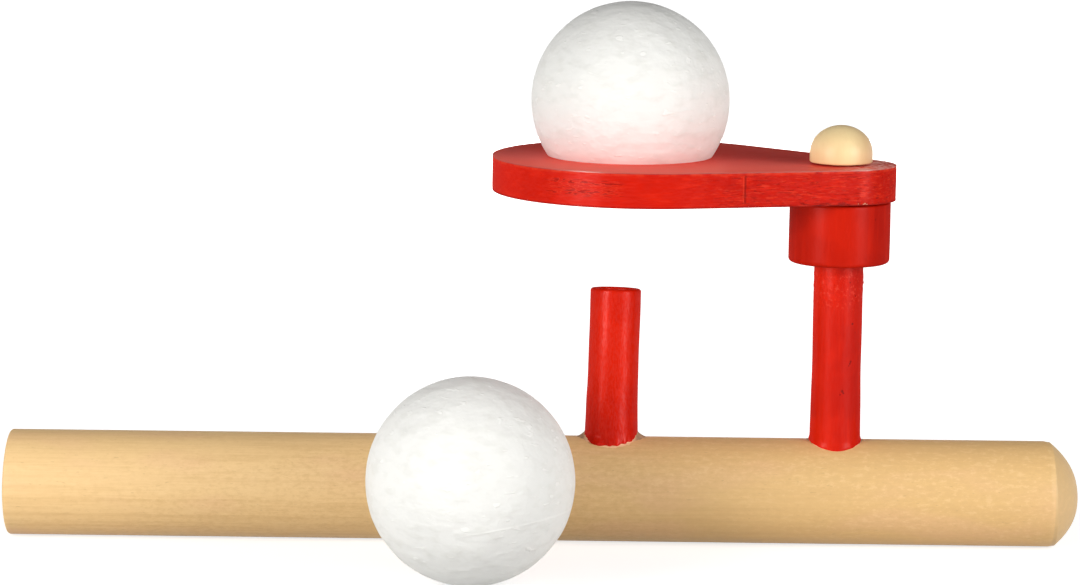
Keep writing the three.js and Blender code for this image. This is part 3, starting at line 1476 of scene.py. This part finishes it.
@dataclass
class Plate:
    """The swinging board, wide at one end, with the ball's hole."""

    swing: float = math.radians(-15.3)
    low: float = 59.35
    high: float = 66.30
    wide_radius: float = 30.6
    narrow_radius: float = 11.0
    wide_reach: float = 40.3
    hole_reach: float = 43.35
    hole_radius: float = 16.6
    shank_hole_radius: float = 3.15
    drill_spare: float = 3.0
    flat_degrees: float = 0.2
    edge_spare: float = 0.5
    edge_round: float = 0.8
    sides: int = 240
    long_rings: int = 69
    rings: int = 22
    relief: Relief = Relief(0.05, 0.010, fineness=2.6, stretch=7.0, seed=2.0)

    @property
    def _along(self) -> Vector:
        """The direction of the plate's middle line, away from the pivot."""
        return Vector((-math.cos(self.swing), -math.sin(self.swing), 0.0))

    def _disc(self, name: str, reach: float, radius: float, spare: float = 0.0) -> Workpiece:
        """Return an upright cylinder on the plate's middle line.

        Args:
            name: Its name.
            reach: Its distance from the pivot.
            radius: Its radius.
            spare: How far it stands out above and below the plate.

        Returns:
            The workpiece.
        """
        axis = Axis(tuple(Vector(POST_AXIS.start) + self._along * reach))
        return Workpiece.rod(name, axis, self.low - spare, self.high + spare, radius, self.sides)

    def _uneven(self, point: Vector) -> Vector:
        """Move a point of the upright sides a little, along the level grain.

        Args:
            point: A point of the plate.

        Returns:
            Its new place.
        """
        if not self.low + self.edge_spare < point.z < self.high - self.edge_spare:
            return point
        flat, along = POST_AXIS.reach(point)[1], self._along
        reach = flat.dot(along)
        aside = flat - along * reach
        if (flat - along * self.hole_reach).length < self.hole_radius + self.edge_spare:
            outward = along * self.hole_reach - flat
        elif reach > self.wide_reach:
            outward = flat - along * self.wide_reach
        else:
            outward = aside if reach > 0.0 else flat
        return point + outward.normalized() * self.relief.lift(point.z, aside.length, reach)

    def build(self, finish: RedPaint) -> None:
        """Model the plate and dress it.

        Args:
            finish: Its paint.
        """
        plate = self._disc("plate_board", self.wide_reach, self.wide_radius)
        plate.join(self._disc("narrow_end", 0.0, self.narrow_radius)).everything()
        bpy.ops.mesh.convex_hull(join_triangles=True)
        bpy.ops.mesh.select_all(action="SELECT")
        bpy.ops.mesh.dissolve_limited(angle_limit=math.radians(self.flat_degrees))
        plate.edges(lambda a, b: (a - b).length > self.narrow_radius).subdivide(self.long_rings)
        plate.cut(
            self._disc("ball_hole", self.hole_reach, self.hole_radius, self.drill_spare),
            self._disc("shank_hole", 0.0, self.shank_hole_radius, self.drill_spare),
        )
        plate.soften(self.edge_round, steps=5, degrees=40.0)
        plate.edges(POST_AXIS.run(self.high - self.low)).subdivide(self.rings)
        plate.sculpt(self._uneven)
        plate.deliver(finish, "red_paint_plate", Body.SWING_PLATE, Slot.RED_PLATE, "plate")


@dataclass
class PivotPeg:
    """The cream peg whose domed head keeps the plate on the post."""

    head_radius: float = 6.25
    head_foot: float = 66.70
    rim_height: float = 1.9
    dome_height: float = 5.5
    shank_radius: float = 2.8
    shank_foot: float = 49.1
    edge_round: float = 0.35
    sides: int = 96
    rings: int = 64

    def build(self, finish: CreamWood) -> None:
        """Model the peg and dress it.

        Args:
            finish: Its wood.
        """
        middle = POST_AXIS.spot(self.head_foot + self.rim_height)
        peg = Workpiece(
            "peg_head", bpy.ops.mesh.primitive_uv_sphere_add, segments=self.sides,
            ring_count=self.rings, radius=self.head_radius * MM, location=metres(middle),
        )
        peg.everything()
        bpy.ops.mesh.bisect(
            plane_co=metres(middle), plane_no=UPWARDS, use_fill=True, clear_inner=True,
            clear_outer=False,
        )
        peg.everything().resize((1.0, 1.0, self.dome_height / self.head_radius), middle)
        peg.facing(DOWNWARDS).extrude(0.0, 0.0, -self.rim_height)
        peg.facing(DOWNWARDS).inset(self.head_radius - self.shank_radius)
        peg.extrude(0.0, 0.0, self.shank_foot - self.head_foot)
        peg.round_rings(POST_AXIS, (self.head_foot, self.head_radius, self.edge_round, 4))
        peg.deliver(finish, "cream_peg_wood", Body.PIPE_AND_POST, Slot.CREAM_WOOD, "pivot_peg")


@dataclass
class FoamBall:
    """A ball of fused foam beads with a faint mould seam."""

    name: str
    node: str
    body: Body
    centre: Point
    seam_normal: Point
    seam_level: float
    seed: float
    radius: float = 20.0
    dent_relief: float = 0.09
    dent_fineness: float = 0.16
    bead_relief: float = 0.03
    bead_fineness: float = 0.55

    @property
    def _shift(self) -> Point:
        """What makes this ball's marks differ from the other's."""
        return (self.seed, self.seed * 0.7, -self.seed)

    def _surface(self, point: Vector) -> Vector:
        """Return a point of the sphere with its shallow dents.

        Args:
            point: A point of the sphere.

        Returns:
            Its new place.
        """
        middle = Vector(self.centre)
        spoke = (point - middle).normalized()
        spot = spoke * self.radius + Vector(self._shift)
        dents = abs(noise.noise(spot * self.dent_fineness)) * self.dent_relief
        beads = abs(noise.noise(spot * self.bead_fineness)) * self.bead_relief
        return middle + spoke * (self.radius - dents - beads)

    def build(self) -> None:
        """Model the ball and dress it in foam."""
        ball = Workpiece(
            self.name, bpy.ops.mesh.primitive_ico_sphere_add, subdivisions=6,
            radius=self.radius * MM, location=metres(self.centre),
        )
        finish = WhiteFoam(self.centre, self.seam_normal, self.seam_level, self._shift)
        ball.sculpt(self._surface).deliver(
            finish, f"{self.name}_surface", self.body, Slot.WHITE_FOAM, self.node,
            smooth_degrees=80.0,
        )


@dataclass
class SocketBurr:
    """The torn wood and glue that stand up round a peg's socket."""

    name: str
    axis: Axis
    peg_radius: float
    side_height: float = 1.35
    front_height: float = 0.38
    side_width: float = 1.85
    front_width: float = 0.85
    seed: float = 3.0
    lean: Range = (0.0, 0.0)
    jag_fineness: float = 2.1
    fibre_fineness: float = 11.0
    overlap: float = 0.05
    root_depth: float = 0.5
    around: int = 200
    section: int = 12
    section_radius: float = 0.5

    @property
    def _middle(self) -> float:
        """The radius of the starting ring."""
        return self.peg_radius + 1.0

    def _lip(self, point: Vector) -> Vector:
        """Move a vertex of the flat starting ring to its place on the burr.

        Args:
            point: A point of the ring.

        Returns:
            Its new place.
        """
        place = self.axis.start[0]
        angle = math.atan2(point.y, point.x - place)
        sideways, ahead = math.cos(angle), math.sin(angle)
        turn = math.atan2(point.z, math.hypot(point.x - place, point.y) - self._middle)
        around = Vector((sideways, ahead, 0.0))
        jag = noise.noise(around * self.jag_fineness + Vector((0.0, 0.0, self.seed)))
        fine = noise.noise(around * self.fibre_fineness + Vector((0.0, 0.0, self.seed + 7.0)))
        beside = abs(sideways) ** 8
        rise = self.front_height + (self.side_height - self.front_height) * beside
        rise *= 1.0 + 0.30 * jag + 0.20 * fine
        width = self.front_width + (self.side_width - self.front_width) * beside
        width *= max(1.0 + 0.60 * jag + 0.35 * fine, 0.3)
        out = 1.0 - abs(turn) / math.pi
        distance = self.peg_radius - self.overlap + out * width
        height = rise * (1.0 - out) ** 1.5
        if turn < 0.0:
            height = -self.root_depth * min(8.0 * (1.0 - out), 1.0)
        across = distance * ahead
        across += self.lean[1] * math.sqrt(max(PIPE_RADIUS**2 - across * across, 0.0))
        surface = math.sqrt(max(PIPE_RADIUS**2 - across * across, 0.0))
        along = place + self.lean[0] * surface + distance * sideways
        return Vector((along, across, surface + height))

    def build(self) -> None:
        """Model the burr and dress it in torn wood."""
        burr = Workpiece(
            self.name, bpy.ops.mesh.primitive_torus_add, major_segments=self.around,
            minor_segments=self.section, major_radius=self._middle * MM,
            minor_radius=self.section_radius * MM, location=metres(self.axis.start),
        )
        burr.sculpt(self._lip).deliver(
            TornWood(self.axis.start[0], self.peg_radius), f"{self.name}_wood",
            Body.PIPE_AND_POST, Slot.PALE_WOOD, smooth_degrees=60.0,
        )


# Studio


def put_in_scene(name: str, data: bpy.types.ID) -> bpy.types.Object:
    """Make an object of a lamp's or a camera's data, and put it in the scene.

    Args:
        name: The object's name.
        data: The lamp's or the camera's data.

    Returns:
        The object.
    """
    made = bpy.data.objects.new(name, data)
    bpy.context.scene.collection.objects.link(made)
    return made


@dataclass
class Lamp:
    """A soft rectangular lamp aimed at the toy."""

    name: str
    place: Point
    size: Range
    power: float
    in_gloss: bool = True
    target: Point = (50.0, 0.0, 45.0)
    colour: Colour = (1.0, 0.98, 0.935)

    def light(self) -> None:
        """Put the lamp in the scene."""
        data = bpy.data.lights.new(self.name, "AREA")
        data.shape = "RECTANGLE"
        data.size, data.size_y = metres(self.size)
        data.energy = self.power
        data.color = self.colour
        lamp = put_in_scene(self.name, data)
        lamp.location = metres(self.place)
        aim = Vector(self.target) - Vector(self.place)
        lamp.rotation_euler = aim.to_track_quat("-Z", "Y").to_euler()
        lamp.visible_camera = False
        lamp.visible_glossy = self.in_gloss


@dataclass
class Studio:
    """The camera, the lamps, the world and the floor."""

    camera_place: Point = (52.37, -711.46, 148.14)
    lens: float = 120.0
    sensor_width: float = 36.0
    clipping: Range = (0.01, 100.0)
    pitch: float = 8.66
    yaw: float = 0.46
    roll: float = 0.60
    floor_level: float = -10.6
    floor_reach: float = 20000.0
    behind: float = 0.14
    ahead: float = 0.48
    horizon: float = 1.0
    white: Colour = (1.0, 1.0, 1.0)
    floor_colour: Colour = (0.62, 0.62, 0.62)
    floor_glow: float = 0.71
    glow_centre: float = 47.0
    glow_stretch: float = 1.9
    glow_between: Range = (60.0, 190.0)
    lamps: list[Lamp] = field(
        default_factory=lambda: [
            Lamp("left_lamp", (-262.0, -310.0, 145.0), (170.0, 270.0), 1.32),
            Lamp("right_lamp", (392.0, -276.0, 145.0), (170.0, 270.0), 1.07),
            Lamp("rear_lamp", (50.0, 750.0, 90.0), (420.0, 300.0), 2.4, in_gloss=False),
        ]
    )

    def _camera(self) -> None:
        """Place the camera where the photograph was taken from."""
        data = bpy.data.cameras.new("photo_camera")
        data.sensor_fit = "HORIZONTAL"
        data.sensor_width = self.sensor_width
        data.lens = self.lens
        data.clip_start, data.clip_end = self.clipping
        camera = put_in_scene("photo_camera", data)
        turn = Matrix.Translation(metres(self.camera_place))
        for degrees, axis in ((self.yaw, "Z"), (90.0 - self.pitch, "X"), (self.roll, "Z")):
            turn = turn @ Matrix.Rotation(math.radians(degrees), 4, axis)
        camera.matrix_world = turn
        bpy.context.scene.camera = camera

    @staticmethod
    def _seen(graph: Graph) -> Field:
        """Tell the rays that show the floor from those that it would light.

        Args:
            graph: The floor's graph.

        Returns:
            1 for rays from the camera, a mirror or a glass, and 0 for others.
        """
        path = graph.node("ShaderNodeLightPath", {}, {})
        camera, gloss, glass = (
            Field(graph, path.outputs[name])
            for name in ("Is Camera Ray", "Is Glossy Ray", "Is Transmission Ray")
        )
        total = camera + gloss + glass
        return graph.add("ShaderNodeMath", {"operation": "MINIMUM"}, {0: total, 1: 1.0})

    def _world(self) -> None:
        """Make a pale world that is white at the horizon and lights softly."""
        world = bpy.data.worlds.new("studio")
        bpy.context.scene.world = world
        graph = Graph(world)
        _, depth, rise = graph.split(graph.add("ShaderNodeTexCoord", output="Generated"))
        strength = self.behind + depth.over(-0.15, -0.85) * (self.ahead - self.behind)
        band = rise.over(0.30, 0.08) * depth.over(-0.10, 0.30)
        strength = strength + band * (self.horizon - self.behind)
        inputs = {"Color": self.white, "Strength": strength}
        shader = graph.add("ShaderNodeBackground", {}, inputs)
        graph.node("ShaderNodeOutputWorld", {}, {"Surface": shader})

    def _floor(self) -> None:
        """Make a pale floor that keeps the toy's shadow close by."""
        bpy.ops.object.select_all(action="DESELECT")
        bpy.ops.mesh.primitive_plane_add(
            size=self.floor_reach * MM, location=(0.0, 0.0, self.floor_level * MM)
        )
        floor = bpy.context.object
        floor.name = "studio_floor"
        bpy.ops.object.transform_apply(location=True, rotation=True, scale=True)
        material = bpy.data.materials.new("pale_floor")
        graph = Graph(material)
        along, across, _ = graph.split(graph.place())
        aside = (along - self.glow_centre) / self.glow_stretch
        away = (aside * aside + across * across) ** 0.5
        glow = self.floor_glow + away.over(*self.glow_between) * (1.0 - self.floor_glow)
        inputs = {"Color": self.white, "Strength": glow * self._seen(graph)}
        light = graph.add("ShaderNodeEmission", {}, inputs)
        paper = graph.add("ShaderNodeBsdfDiffuse", {}, {"Color": self.floor_colour})
        both = graph.add("ShaderNodeAddShader", {}, {0: paper, 1: light})
        graph.node("ShaderNodeOutputMaterial", {}, {"Surface": both})
        floor.data.materials.append(material)

    def build(self) -> None:
        """Set up the whole studio."""
        self._camera()
        self._world()
        self._floor()
        for lamp in self.lamps:
            lamp.light()
        bpy.context.scene.view_settings.view_transform = "Standard"


# painted shade: the tube's paint darkens towards its foot
TUBE_PAINT = RedPaint(
    red=(0.675, 0.0150, 0.0022), gloss=0.030, glow=0.14, grain_length=0.8, streaky=0.66,
    grain_depth=0.030, deeper_towards=DOWNWARDS, deeper_between=(-25.0, -8.0),
)
# painted shade: the post's paint darkens towards its right side
POST_PAINT = PostPaint(
    red=(0.78, 0.0170, 0.0028), deep=(0.53, 0.0080, 0.0016), gloss=0.027,
    deeper_between=(102.6, 108.5),
    pits=(
        (108.9, -4.09, 34.8, 0.34), (108.7, -4.2, 27.2, 0.32), (108.55, -4.3, 26.8, 0.26),
        (108.35, -4.4, 26.4, 0.18), (107.1, -4.8, 21.3, 0.38), (107.35, -4.8, 20.9, 0.28),
        (106.7, -4.9, 20.6, 0.20), (108.2, -4.5, 43.2, 0.24), (109.4, -3.7, 40.4, 0.22),
    ),
)
# painted shade: the collar's paint darkens towards its right side
COLLAR_PAINT = RedPaint(
    red=(0.59, 0.0125, 0.0020), deep=(0.43, 0.0070, 0.0015), streaky=0.1, brushed=0.20,
    gloss=0.017, grain_depth=0.006, deeper_between=(104.0, 116.0),
)
BALLS = (
    FoamBall(
        "floating_foam_ball", "ball", Body.FLOATING_BALL, (64.386, 11.439, 77.4),
        seam_normal=(0.09, -0.98, 0.19), seam_level=0.0, seed=11.0,
    ),
    FoamBall(
        "spare_foam_ball", "spare_ball", Body.LOOSE_BALL, (34.1, -40.0, 9.4),
        seam_normal=(-0.1756, 0.0901, 0.9803), seam_level=-8.05, seed=47.0,
    ),
)
BURRS = (
    SocketBurr("tube_socket_burr", TUBE_AXIS, 5.075, lean=(0.022, 0.0875)),
    SocketBurr(
        "post_socket_burr", POST_AXIS, 4.9, side_height=0.42, side_width=0.90,
        front_height=0.14, front_width=0.42, seed=9.0,
    ),
)


def main() -> None:
    """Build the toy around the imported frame."""
    logging.basicConfig(level=logging.INFO, format="%(name)s %(message)s")
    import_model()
    Studio().build()
    Pipe().build(PaleWood())
    BlowTube().build(TUBE_PAINT)
    Post().build(POST_PAINT)
    Collar().build(COLLAR_PAINT)
    Plate().build(PlatePaint(deeper_between=(54.0, 90.0)))
    PivotPeg().build(CreamWood())
    for piece in BALLS + BURRS:
        piece.build()


if __name__ == "__main__":
    main()
